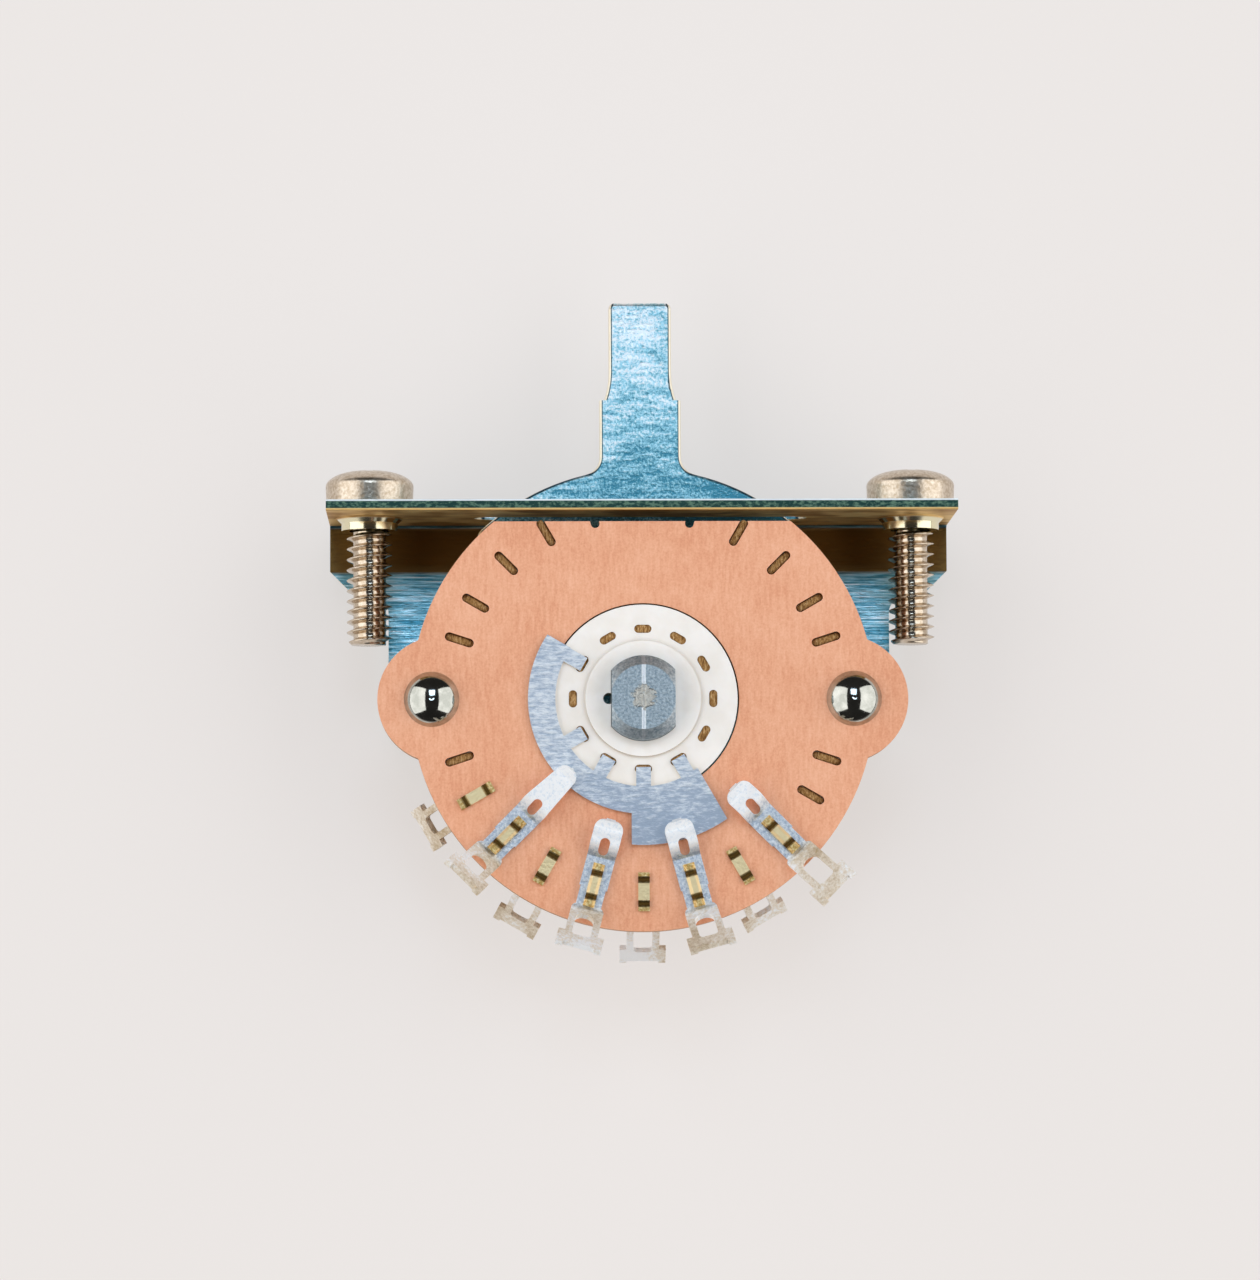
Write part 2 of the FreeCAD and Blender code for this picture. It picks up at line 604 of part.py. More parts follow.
def contact(tip_r, tip_half, tilt, clock, face_y, outward):
    """Clip stamped and bent from one strip: nose, flat body, and a tilted terminal with a window."""
    touch_w = rotor_proud + blade_t + contact_lift + contact_t / 2
    flat_w = contact_t / 2
    reach, rise = terminal_long * cos(radians(tilt)), terminal_long * sin(radians(tilt))
    strip = bent_strip([(tip_r, touch_w + tip_lift), (tip_r + touch_back, touch_w),
                        (knee_r, touch_w + knee_lift), (clamp_r, flat_w), (bend_line_r, flat_w),
                        (bend_line_r + reach, flat_w + rise)], contact_t, contact_bend_r, 4 * bar_half)
    terminal, openings = terminal_plan()
    for shape in (terminal, openings):
        shape.rotate(Vector(bend_line_r, 0, flat_w), Vector(0, -1, 0), tilt)
    eye = round_slot(eye_long, eye_wide, plan_h, eye_r)
    slot = round_slot(slot_long, slot_wide, plan_h, slot_circle_r).translated(Vector(0, 0, -spare))
    solid = strip.common(contact_plan(tip_r, tip_half).fuse(terminal)).cut([openings, eye, slot])
    return on_wafer(solid.removeSplitter(), clock, face_y, outward)


def staple(clock, face_y, outward):
    """Brass staple: a rib on the clip, a stem through clip and wafer, and clinched ends behind."""
    bevelled = [(-rib_half, 0), (rib_half, 0), (rib_half, rib_h - rib_bevel), (rib_half - rib_bevel, rib_h),
                (rib_bevel - rib_half, rib_h), (-rib_half, rib_h - rib_bevel)]
    ring = [Vector(slot_circle_r - rib_long / 2, v, contact_t + w) for v, w in bevelled]
    rib = Part.Face(Part.makePolygon(ring + ring[:1])).extrude(Vector(rib_long, 0, 0))
    stem = Part.makeBox(stem_long, 2 * stem_half, contact_t + wafer_t + clinch_h,
                        Vector(slot_circle_r - stem_long / 2, -stem_half, -wafer_t - clinch_h))
    clinch = Part.makeBox(clinch_long, 2 * rib_half, clinch_h,
                          Vector(slot_circle_r - clinch_long / 2, -rib_half, -wafer_t - clinch_h))
    return on_wafer(rib.fuse([stem, clinch]).removeSplitter(), clock, face_y, outward)


def build():
    """Every piece by name."""
    pieces = {"mounting_bracket": bracket(), "wafer": wafer(), "rotor": rotor(), "shaft": shaft(),
              "thrust_washer": thrust_washer(), "lever": lever(), "detent_pin": detent_pin(),
              "detent_roller": detent_roller(), "detent_spring": detent_spring(),
              "rotor_blade_front": rotor_blade(front_tabs, 0, rotor_front, -1),
              "rotor_blade_rear": rotor_blade(rear_tabs, rear_turn, rotor_back, 1)}
    for name, side in (("left", -1), ("right", 1)):
        pieces["mounting_screw_" + name] = screw(side * hole_spacing / 2)
        pieces["rivet_" + name] = rivet(side * rivet_spacing / 2)
        pieces["spacer_" + name] = spacer(side * rivet_spacing / 2)
    clips = [(str(k + 1), clock, nose_r, nose_half) for k, clock in enumerate(short_clips)]
    clips.append(("common", common_clip, common_nose_r, common_half))
    for face, face_y, outward, turn, tilts in (("front_", wafer_front, -1, 0, front_tilts),
                                               ("rear_", wafer_back, 1, rear_turn, rear_tilts)):
        for (name, clock, tip_at, tip_half), tilt in zip(clips, tilts):
            at = clock + turn
            pieces["contact_" + face + name] = contact(tip_at, tip_half, tilt, at, face_y, outward)
            pieces["staple_" + face + name] = staple(at, face_y, outward)
    return pieces


os.makedirs("parts", exist_ok=True)
for node, shape in build().items():
    if not shape.isValid() or shape.Volume <= 0:
        raise ValueError(node + " is not a sound solid")
    shape.exportStep("parts/" + node + ".step")
    print(node, round(shape.Volume, 2), len(shape.Solids))
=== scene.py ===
import math
from functools import partial
import bpy
import numpy as np
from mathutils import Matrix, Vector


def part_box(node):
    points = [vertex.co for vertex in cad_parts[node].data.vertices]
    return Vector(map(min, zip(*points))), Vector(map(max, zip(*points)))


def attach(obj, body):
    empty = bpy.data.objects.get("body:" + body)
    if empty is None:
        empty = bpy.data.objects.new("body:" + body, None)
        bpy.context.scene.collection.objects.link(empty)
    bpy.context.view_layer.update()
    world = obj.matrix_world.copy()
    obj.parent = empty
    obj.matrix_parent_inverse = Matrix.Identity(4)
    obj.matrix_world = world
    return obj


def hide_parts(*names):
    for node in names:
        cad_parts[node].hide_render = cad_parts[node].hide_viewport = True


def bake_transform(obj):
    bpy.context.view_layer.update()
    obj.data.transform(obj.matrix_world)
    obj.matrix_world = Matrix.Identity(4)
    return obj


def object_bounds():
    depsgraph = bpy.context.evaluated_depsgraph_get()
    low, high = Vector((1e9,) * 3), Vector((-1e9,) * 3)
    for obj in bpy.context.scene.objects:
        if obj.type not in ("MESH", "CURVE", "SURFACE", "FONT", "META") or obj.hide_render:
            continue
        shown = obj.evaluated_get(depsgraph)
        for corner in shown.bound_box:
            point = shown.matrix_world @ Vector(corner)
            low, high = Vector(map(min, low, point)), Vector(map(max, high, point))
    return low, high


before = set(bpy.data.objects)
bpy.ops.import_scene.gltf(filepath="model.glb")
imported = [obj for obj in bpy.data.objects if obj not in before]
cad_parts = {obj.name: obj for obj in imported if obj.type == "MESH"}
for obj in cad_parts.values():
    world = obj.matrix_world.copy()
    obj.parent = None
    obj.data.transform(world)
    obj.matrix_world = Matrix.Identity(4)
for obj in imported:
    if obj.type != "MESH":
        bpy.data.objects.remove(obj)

# Three-way lever switch for guitar pickups: plated bracket and lever, phenolic wafer, silvered contacts.
mm = 0.001
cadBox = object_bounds()  # the frame's bounds, which place the paper behind it
fullTurn = 2 * np.pi
print("frame loaded")

# The plain sizes that the new pieces share, read from the frame.
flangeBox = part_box("mounting_bracket")
spacerBoxes = [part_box("spacer_left"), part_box("spacer_right")]
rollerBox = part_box("detent_roller")
axisZ = (spacerBoxes[0][0][2] + spacerBoxes[0][1][2]) / 2
pinZ = (rollerBox[0][2] + rollerBox[1][2]) / 2
postX = (spacerBoxes[1][0][0] + spacerBoxes[1][1][0]) / 2
stapleMiddle = np.array(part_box("staple_front_2")).mean(axis=0)
slotR = math.hypot(stapleMiddle[0], stapleMiddle[2] - axisZ) / mm


# Meshes from grids of points

def gridMesh(name, grid, material, capStart=True, capEnd=True, smooth=True, wrapAlong=False):
    # grid[i, j] holds rings of points, each closed round j; quads join neighbours, wrapAlong joins the last
    # ring to the first, and a cap is a fan to the ring's middle
    rows, cols = grid.shape[:2]
    points = grid.reshape(-1, 3)
    before = np.arange(rows * cols).reshape(rows, cols)
    after = np.roll(before, -1, axis=1)
    quads = np.stack([before, after, np.roll(after, -1, axis=0), np.roll(before, -1, axis=0)], axis=-1)
    quads = (quads if wrapAlong else quads[:-1]).reshape(-1, 4)
    fans = []
    for wanted, row, flip in ((capStart, 0, True), (capEnd, -1, False)):
        if wanted:
            middle = np.full(before.shape[1], len(points))
            points = np.vstack([points, grid[row].mean(axis=0)])
            pair = (after[row], before[row]) if flip else (before[row], after[row])
            fans.append(np.stack([pair[0], pair[1], middle], axis=-1))
    fans = np.vstack(fans) if fans else np.zeros((0, 3), int)
    mesh = bpy.data.meshes.new(name)
    mesh.vertices.add(len(points))
    mesh.vertices.foreach_set("co", points.ravel())
    corners = np.concatenate([quads.ravel(), fans.ravel()])
    totals = np.concatenate([np.full(len(quads), 4), np.full(len(fans), 3)])
    mesh.loops.add(len(corners))
    mesh.loops.foreach_set("vertex_index", corners)
    mesh.polygons.add(len(totals))
    mesh.polygons.foreach_set("loop_start", np.concatenate([[0], np.cumsum(totals)[:-1]]))
    mesh.polygons.foreach_set("loop_total", totals)
    mesh.polygons.foreach_set("use_smooth", np.full(len(totals), smooth))
    mesh.update(calc_edges=True)
    mesh.validate()
    piece = bpy.data.objects.new(name, mesh)
    bpy.context.scene.collection.objects.link(piece)
    mesh.materials.append(material)
    return piece


def tube(name, path, across, radius, sides, material):
    # a circle carried along path; across is a vector field never parallel to the path
    along = np.gradient(path, axis=0)
    along /= np.linalg.norm(along, axis=1, keepdims=True)
    sideways = across - np.sum(across * along, axis=1, keepdims=True) * along
    sideways /= np.linalg.norm(sideways, axis=1, keepdims=True)
    upward = np.cross(along, sideways)
    angle = np.linspace(0, fullTurn, sides, endpoint=False)[None, :, None]
    ring = np.cos(angle) * sideways[:, None] + np.sin(angle) * upward[:, None]
    return gridMesh(name, path[:, None] + radius * ring, material)


# Material tools

def linear(hexText):
    # an sRGB hex colour as linear light with alpha 1
    parts = np.array([int(hexText[i:i + 2], 16) for i in (1, 3, 5)]) / 255
    return tuple(np.where(parts <= 0.04045, parts / 12.92, ((parts + 0.055) / 1.055) ** 2.4)) + (1.0,)


def fill(node, sockets):
    # each socket gets a plain value, or a link where the value is another node's output
    for key, value in sockets.items():
        if isinstance(value, bpy.types.NodeSocket):
            node.id_data.links.new(value, node.inputs[key])
        else:
            node.inputs[key].default_value = value


def addNode(tree, kind, sockets=None, stops=None, give=0, **settings):
    # one node with its settings, links and colour stops (both ends first, then one between them); hands back
    # the output that give names, or a list of them
    node = tree.nodes.new("ShaderNode" + kind)
    for key, value in settings.items():
        setattr(node, key, value)
    for place, (at, shade) in enumerate(stops or []):
        element = node.color_ramp.elements[place] if place < 2 else node.color_ramp.elements.new(at)
        element.position, element.color = at, linear(shade)
    fill(node, sockets or {})
    return [node.outputs[one] for one in give] if isinstance(give, tuple) else node.outputs[give]


def newMaterial(name):
    # a Principled surface, the call that adds nodes to it, and the object's own place in millimetres
    material = bpy.data.materials.new(name)
    material.use_nodes = True
    add = partial(addNode, material.node_tree)
    place = add("VectorMath", {0: add("TexCoord", give="Object"), "Scale": 1 / mm}, operation="SCALE")
    return material, add, place


def dress(material, sockets):
    # fills the sockets of the material's own surface
    fill(material.node_tree.nodes["Principled BSDF"], sockets)
    return material


def fromAxis(add, place):
    # distance in millimetres from the axis on which the switch turns
    flat = add("Mapping", {"Vector": place, "Location": (0, 0, -axisZ / mm), "Scale": (1, 0, 1)})
    return add("VectorMath", {0: flat}, give="Value", operation="LENGTH")


# Materials, each named for the real one; lengths are in millimetres

colourMix = {"give": 2, "data_type": "RGBA"}  # a Mix node that mixes colours
# rim and cream are painted shade and reflection at edges; gold, olive, straw, collar and fold are painted
# reflection and highlight
zinc = {"blue": "#A2D6E2", "deep": "#4A8EA2", "pale": "#F7FCFD", "goldReflection": "#F2CE8C", "oliveReflection": "#B98C50",
        "sideReflection": "#F6EEDA", "rim": "#2B4C5C", "teal": "#2F4F4A", "moss": "#6F8F7A", "fold": "#7A5F36",
        "strawReflection": "#D9A860", "collar": "#EAE3C2", "lineLong": 3.5, "lineWide": 0.13, "cloud": 2.5,
        "patchLong": 4.0, "patchWide": 2.0, "speckWide": 0.35, "speckHigh": 0.2, "foldFrom": -4.6,
        "behind": 14.3, "sheetRoughness": 0.3, "underRoughness": 0.5, "collarRoughness": 0.14, "edgeRougher": 0.3,
        "sheetRelief": 0.045, "plateTilt": -0.1, "grain": 0.22, "smearLong": 2.0, "smearWide": 0.42,
        "smearTurn": -26, "leverCloud": 3.0, "blankRoughness": 0.42, "grainDeep": 0.06, "smearDeep": 0.05,
        "blankBow": 0.0045, "bowBelow": 3.0}


def zincFilm(add, tone, side):
    # blue film: deep to pale by tone; painted shade at a sheared edge's turn, painted cream reflection on its side
    face = add("ValToRGB", {0: tone}, stops=[(0.42, zinc["deep"]), (0.6, zinc["pale"]), (0.51, zinc["blue"])])
    # painted shade: a dark line where the edge turns
    turned = add("Mix", {0: add("MapRange", {0: side, 1: 0.12, 2: 0.22}), 6: face, 7: linear(zinc["rim"])},
                 **colourMix)
    # painted reflection: cream on the sides
    return add("Mix", {0: add("MapRange", {0: side, 1: 0.36, 2: 0.5}), 6: turned, 7: linear(zinc["sideReflection"])},
               **colourMix)


def zincSheet():
    # bright zinc on cold-rolled sheet, brushed along its length so that each line glints by itself (the lines
    # are drawn coarser than real ones, to show); painted reflection in straw and olive under the flange and
    # behind the wafer, a painted cream highlight on the collars, and a painted brown reflection in the fold; the
    # sheared front edge has a painted pale highlight at its upper corner, is dark and mottled on its face, and has
    # a painted gold reflection at its lower one; the back plate leans back a touch
    material, add, place = newMaterial("steel_sheet_blue_zinc_rolled")
    y, z = add("SeparateXYZ", {0: place}, give=("Y", "Z"))
    sideways, forwards = add("SeparateXYZ", {0: add("TexCoord", give="Normal")}, give=("X", "Y"))
    lines = add("Mapping", {"Vector": place, "Scale": (1 / zinc["lineLong"], 1 / zinc["lineWide"],
                                                       1 / zinc["lineWide"])})
    rolled = add("TexNoise", {"Vector": lines, "Scale": 1.0, "Detail": 5.0, "Roughness": 0.65})
    cloud = add("TexNoise", {"Vector": place, "Scale": 1 / zinc["cloud"], "Detail": 3.0})
    tone = add("Math", {0: cloud, 1: 0.12, 2: 0.09}, operation="MULTIPLY_ADD")
    tone = add("Math", {0: rolled, 1: 0.66, 2: tone}, operation="MULTIPLY_ADD")
    film = zincFilm(add, tone, add("Math", {0: sideways}, operation="ABSOLUTE"))

    # painted reflection: straw and olive under the flange, with a painted cream highlight on the collars
    patches = add("Mapping", {"Vector": place, "Scale": (1 / zinc["patchLong"], 1 / zinc["patchWide"],
                                                         1 / zinc["patchWide"])})
    strawReflection = add("ValToRGB", {0: add("TexNoise", {"Vector": patches, "Scale": 1.0})},
                stops=[(0.4, zinc["oliveReflection"]), (0.62, zinc["goldReflection"])])
    below = add("MapRange", {0: z, 1: -0.74, 2: -0.79})
    ahead = add("MapRange", {0: y, 1: 5.2, 2: 4.6})
    under = add("Math", {0: below, 1: ahead}, operation="MINIMUM")
    drawn = add("Math", {0: under, 1: add("MapRange", {0: z, 1: -0.86, 2: -0.95})}, operation="MULTIPLY")
    strawReflection = add("Mix", {0: drawn, 6: strawReflection, 7: linear(zinc["collar"])}, **colourMix)
    colour = add("Mix", {0: under, 6: film, 7: strawReflection}, **colourMix)

    front = add("MapRange", {0: forwards, 1: -0.6, 2: -0.9})
    plate = add("Math", {0: below, 1: under}, operation="SUBTRACT")
    plate = add("Math", {0: front, 1: plate}, operation="MULTIPLY")
    # painted reflection: a brown band on the plate's face just below the flange
    fold = add("MapRange", {0: z, 1: zinc["foldFrom"], 2: zinc["foldFrom"] + 0.3})
    fold = add("Math", {0: plate, 1: fold}, operation="MULTIPLY")
    # painted reflection: warm straw on the plate in the wafer's shade, mirroring the wafer's back
    hidden = add("MapRange", {0: fromAxis(add, place), 1: zinc["behind"] + 0.4, 2: zinc["behind"]})
    hidden = add("Math", {0: plate, 1: hidden}, operation="MULTIPLY")
    colour = add("Mix", {0: fold, 6: colour, 7: linear(zinc["fold"])}, **colourMix)
    colour = add("Mix", {0: hidden, 6: colour, 7: linear(zinc["strawReflection"])}, **colourMix)

    speckles = add("Mapping", {"Vector": place, "Scale": (1 / zinc["speckWide"], 1.0, 1 / zinc["speckHigh"])})
    mottle = add("TexNoise", {"Vector": speckles, "Scale": 1.0, "Detail": 3.0, "Roughness": 0.6})
    sheared = add("ValToRGB", {0: mottle}, stops=[(0.45, zinc["teal"]), (0.65, zinc["moss"])])
    # painted highlight: a pale line along the front edge's upper corner
    upper = add("MapRange", {0: z, 1: -0.14, 2: -0.1})
    sheared = add("Mix", {0: upper, 6: sheared, 7: linear(zinc["pale"])}, **colourMix)
    # painted reflection: a gold line along its lower corner
    lower = add("MapRange", {0: z, 1: -0.64, 2: -0.68})
    sheared = add("Mix", {0: lower, 6: sheared, 7: linear(zinc["goldReflection"])}, **colourMix)
    edge = add("MapRange", {0: y, 1: flangeFront + 0.1, 2: flangeFront + 0.02})
    colour = add("Mix", {0: edge, 6: colour, 7: sheared}, **colourMix)

    dull = add("Math", {0: under, 1: hidden}, operation="MAXIMUM")
    rough = add("MapRange", {0: dull, 3: zinc["sheetRoughness"], 4: zinc["underRoughness"]})
    rough = add("Math", {0: drawn, 1: zinc["collarRoughness"] - zinc["underRoughness"], 2: rough},
                operation="MULTIPLY_ADD")
    rough = add("Math", {0: edge, 1: zinc["edgeRougher"], 2: rough}, operation="MULTIPLY_ADD")
    relief = add("MapRange", {0: under, 3: zinc["sheetRelief"], 4: 0.0})
    relief = add("Math", {0: rolled, 1: relief}, operation="MULTIPLY")
    tilt = add("MapRange", {0: ahead, 3: zinc["plateTilt"], 4: 0.0})
    tilt = add("Math", {0: z, 1: tilt}, operation="MULTIPLY")
    bump = add("Bump", {"Height": add("Math", {0: relief, 1: tilt}), "Distance": mm})
    return dress(material, {"Metallic": 1.0, "Base Color": colour, "Roughness": rough, "Normal": bump})


def zincBlank():
    # the punched lever: an etched grain that sparkles under long smears, with painted light making it paler
    # towards its tip and left side, and a face bowed back a little, so that it catches more of the window there
    material, add, place = newMaterial("steel_blank_blue_zinc_punched")
    x, z = add("SeparateXYZ", {0: place}, give=("X", "Z"))
    sideways = add("SeparateXYZ", {0: add("TexCoord", give="Normal")}, give="X")
    grain = add("TexNoise", {"Vector": place, "Scale": 1 / zinc["grain"], "Detail": 2.0, "Roughness": 0.7})
    tilted = add("Mapping", {"Vector": place, "Rotation": (0, math.radians(zinc["smearTurn"]), 0),
                             "Scale": (1 / zinc["smearLong"], 1 / zinc["smearLong"], 1 / zinc["smearWide"])})
    smear = add("TexNoise", {"Vector": tilted, "Scale": 1.0, "Detail": 4.0, "Roughness": 0.65})
    cloud = add("TexNoise", {"Vector": place, "Scale": 1 / zinc["leverCloud"]})
    # painted light: paler towards the lever's tip
    tone = add("Math", {0: grain, 1: 0.4, 2: add("MapRange", {0: z, 1: -1.0, 2: 13.0, 3: -0.07, 4: 0.06})},
               operation="MULTIPLY_ADD")
    tone = add("Math", {0: smear, 1: 0.38, 2: tone}, operation="MULTIPLY_ADD")
    tone = add("Math", {0: cloud, 1: 0.22, 2: tone}, operation="MULTIPLY_ADD")
    # painted light: paler towards its left side
    tone = add("Math", {0: x, 1: -0.006, 2: tone}, operation="MULTIPLY_ADD")
    colour = zincFilm(add, tone, add("Math", {0: sideways}, operation="ABSOLUTE"))

    past = add("Math", {0: add("Math", {0: z, 1: zinc["bowBelow"]}), 1: 0.0}, operation="MAXIMUM")
    bow = add("Math", {0: past, 1: past}, operation="MULTIPLY")
    bow = add("Math", {0: bow, 1: -zinc["blankBow"]}, operation="MULTIPLY")
    etched = add("Math", {0: grain, 1: zinc["grainDeep"], 2: bow}, operation="MULTIPLY_ADD")
    relief = add("Math", {0: smear, 1: zinc["smearDeep"], 2: etched}, operation="MULTIPLY_ADD")
    return dress(material, {"Metallic": 1.0, "Base Color": colour, "Roughness": zinc["blankRoughness"],
                            "Normal": add("Bump", {"Height": relief, "Distance": mm})})


bar = {"face": "#C2CED4", "dark": "#8D9EA9", "line": "#E9EEF2", "peened": "#C2C1BA", "roughness": 0.5,
       "grain": 0.2, "relief": 0.05, "lineHalf": 0.1, "lineDeep": 0.04, "peenR": 1.27, "peenGrain": 0.34,
       "peenWander": 1.1, "peenDeep": 0.2}


def zincTurned():
    # zinc on turned bar: grey and grainy, with an upright scribed line on its front end and rough peening in
    # its middle
    material, add, place = newMaterial("steel_bar_zinc_turned")
    x = add("SeparateXYZ", {0: place}, give="X")
    forwards = add("SeparateXYZ", {0: add("TexCoord", give="Normal")}, give="Y")
    grain = add("TexNoise", {"Vector": place, "Scale": 1 / bar["grain"], "Detail": 3.0, "Roughness": 0.6})
    coarse = add("TexNoise", {"Vector": place, "Scale": 1 / bar["peenGrain"], "Detail": 2.0, "Roughness": 0.6})
    tone = add("ValToRGB", {0: grain}, stops=[(0.35, bar["dark"]), (0.65, bar["face"])])
    line = add("MapRange", {0: add("Math", {0: x}, operation="ABSOLUTE"), 1: bar["lineHalf"] + 0.06,
                            2: bar["lineHalf"]})
    line = add("Math", {0: line, 1: add("MapRange", {0: forwards, 1: -0.6, 2: -0.9})}, operation="MULTIPLY")
    wander = add("Math", {0: coarse, 1: bar["peenWander"], 2: fromAxis(add, place)}, operation="MULTIPLY_ADD")
    peened = add("MapRange", {0: wander, 1: bar["peenR"] + 0.2, 2: bar["peenR"]})
    colour = add("Mix", {0: line, 6: tone, 7: linear(bar["line"])}, **colourMix)
    colour = add("Mix", {0: peened, 6: colour, 7: linear(bar["peened"])}, **colourMix)
    relief = add("Math", {0: coarse, 1: peened}, operation="MULTIPLY")
    relief = add("Math", {0: relief, 1: bar["peenDeep"]}, operation="MULTIPLY")
    relief = add("Math", {0: grain, 1: bar["relief"], 2: relief}, operation="MULTIPLY_ADD")
    relief = add("Math", {0: line, 1: -bar["lineDeep"], 2: relief}, operation="MULTIPLY_ADD")
    return dress(material, {"Metallic": 1.0, "Base Color": colour, "Roughness": bar["roughness"],
                            "Normal": add("Bump", {"Height": relief, "Distance": mm})})


def plainMetal(name, shade, dark, roughness, grain, depth):
    # one metal with a soft cloudy tone and a fine grain in its finish
    material, add, place = newMaterial(name)
    cloud = add("TexNoise", {"Vector": place, "Scale": 1 / grain, "Detail": 3.0, "Roughness": 0.6})
    relief = add("Math", {0: cloud, 1: depth}, operation="MULTIPLY")
    return dress(material, {"Metallic": 1.0, "Roughness": roughness,
                            "Base Color": add("ValToRGB", {0: cloud}, stops=[(0.35, dark), (0.65, shade)]),
                            "Normal": add("Bump", {"Height": relief, "Distance": mm})})


board = {"face": "#E6A580", "dark": "#DB946E", "light": "#EEB28F", "cut": "#A9713C", "fibreLong": 1.1,
         "fibreWide": 0.2, "fibreDeep": 0.4, "speck": 0.16, "cloud": 5.0, "relief": 0.014, "roughness": 0.5}


def phenolicBoard():
    # paper-phenolic laminate: salmon face with a fine upright paper grain, brown fibrous cut edges
    material, add, place = newMaterial("paper_phenolic_pressed")
    forwards = add("SeparateXYZ", {0: add("TexCoord", give="Normal")}, give="Y")
    upright = add("Mapping", {"Vector": place, "Scale": (1 / board["fibreWide"], 1 / board["fibreDeep"],
                                                         1 / board["fibreLong"])})
    fibre = add("TexNoise", {"Vector": upright, "Scale": 1.0, "Detail": 3.0, "Roughness": 0.6})
    speck = add("TexNoise", {"Vector": place, "Scale": 1 / board["speck"], "Roughness": 0.7})
    cloud = add("TexNoise", {"Vector": place, "Scale": 1 / board["cloud"], "Detail": 3.0, "Roughness": 0.6})
    tone = add("Math", {0: cloud, 1: 0.3}, operation="MULTIPLY")
    tone = add("Math", {0: speck, 1: 0.35, 2: tone}, operation="MULTIPLY_ADD")
    tone = add("Math", {0: fibre, 1: 0.35, 2: tone}, operation="MULTIPLY_ADD")
    face = add("ValToRGB", {0: tone},
               stops=[(0.38, board["dark"]), (0.62, board["light"]), (0.5, board["face"])])
    cut = add("MapRange", {0: add("Math", {0: forwards}, operation="ABSOLUTE"), 1: 0.7, 2: 0.3})
    colour = add("Mix", {0: cut, 6: face, 7: linear(board["cut"])}, **colourMix)
    relief = add("Math", {0: tone, 1: board["relief"]}, operation="MULTIPLY")
    return dress(material, {"Base Color": colour, "Roughness": board["roughness"],
                            "Normal": add("Bump", {"Height": relief, "Distance": mm})})


fibrous = {"dark": "#7E5524", "face": "#B98A4E", "pale": "#E2C08C", "strandWide": 0.12, "strandDeep": 0.5,
           "strandLong": 0.4, "strandTurn": 20, "relief": 0.16}


def fibrousCore():
    # torn paper core that the punch left in the unused slots: dry brown fibres, some of them pale
    material, add, place = newMaterial("paper_phenolic_torn")
    strands = add("Mapping", {"Vector": place, "Rotation": (0, math.radians(fibrous["strandTurn"]), 0),
                              "Scale": (1 / fibrous["strandWide"], 1 / fibrous["strandDeep"],
                                        1 / fibrous["strandLong"])})
    fibre = add("TexNoise", {"Vector": strands, "Scale": 1.0, "Detail": 4.0, "Roughness": 0.7})
    tone = add("ValToRGB", {0: fibre}, stops=[(0.38, fibrous["dark"]), (0.68, fibrous["pale"]),
                                              (0.52, fibrous["face"])])
    relief = add("Math", {0: fibre, 1: fibrous["relief"]}, operation="MULTIPLY")
    return dress(material, {"Base Color": tone, "Roughness": 0.8,
                            "Normal": add("Bump", {"Height": relief, "Distance": mm})})


# deep is the painted shade on the walls of the holes
nylon = {"face": "#F3EEE8", "shade": "#EEE8E0", "deep": "#A5894F", "cloud": 1.4, "grain": 0.2,
         "relief": 0.004}


def nylonMoulding():
    # moulded white nylon: smooth and slightly waxy, with painted shade, tan, on the walls of its holes
    material, add, place = newMaterial("nylon_moulded_white")
    forwards = add("SeparateXYZ", {0: add("TexCoord", give="Normal")}, give="Y")
    cloud = add("TexNoise", {"Vector": place, "Scale": 1 / nylon["cloud"]})
    face = add("ValToRGB", {0: cloud}, stops=[(0.35, nylon["shade"]), (0.6, nylon["face"])])
    # painted shade: tan on the walls of the holes
    wall = add("MapRange", {0: add("Math", {0: forwards}, operation="ABSOLUTE"), 1: 0.6, 2: 0.3})
    colour = add("Mix", {0: wall, 6: face, 7: linear(nylon["deep"])}, **colourMix)
    grain = add("TexNoise", {"Vector": place, "Scale": 1 / nylon["grain"]})
    relief = add("Math", {0: grain, 1: nylon["relief"]}, operation="MULTIPLY")
    return dress(material, {"Base Color": colour, "Roughness": 0.38, "Subsurface Weight": 0.15,
                            "Subsurface Scale": 0.6 * mm, "Subsurface Radius": (1.0, 0.8, 0.6),
                            "Normal": add("Bump", {"Height": relief, "Distance": mm})})


silver = {"face": "#F2F6FA", "dark": "#B3C1D2", "bright": "#FFFFFF", "warm": "#F4ECDF", "tan": "#D3C0A0",
          "cut": "#F3E8D2", "noseTo": 11.7, "bodyFrom": 12.2, "bendPast": 1.9, "ridgeHalf": 0.25, "ridgeHigh": 0.1,
          "grain": 0.25, "patch": 4.0, "clipRough": 0.5, "endRough": 0.85, "bladeRough": 0.58}


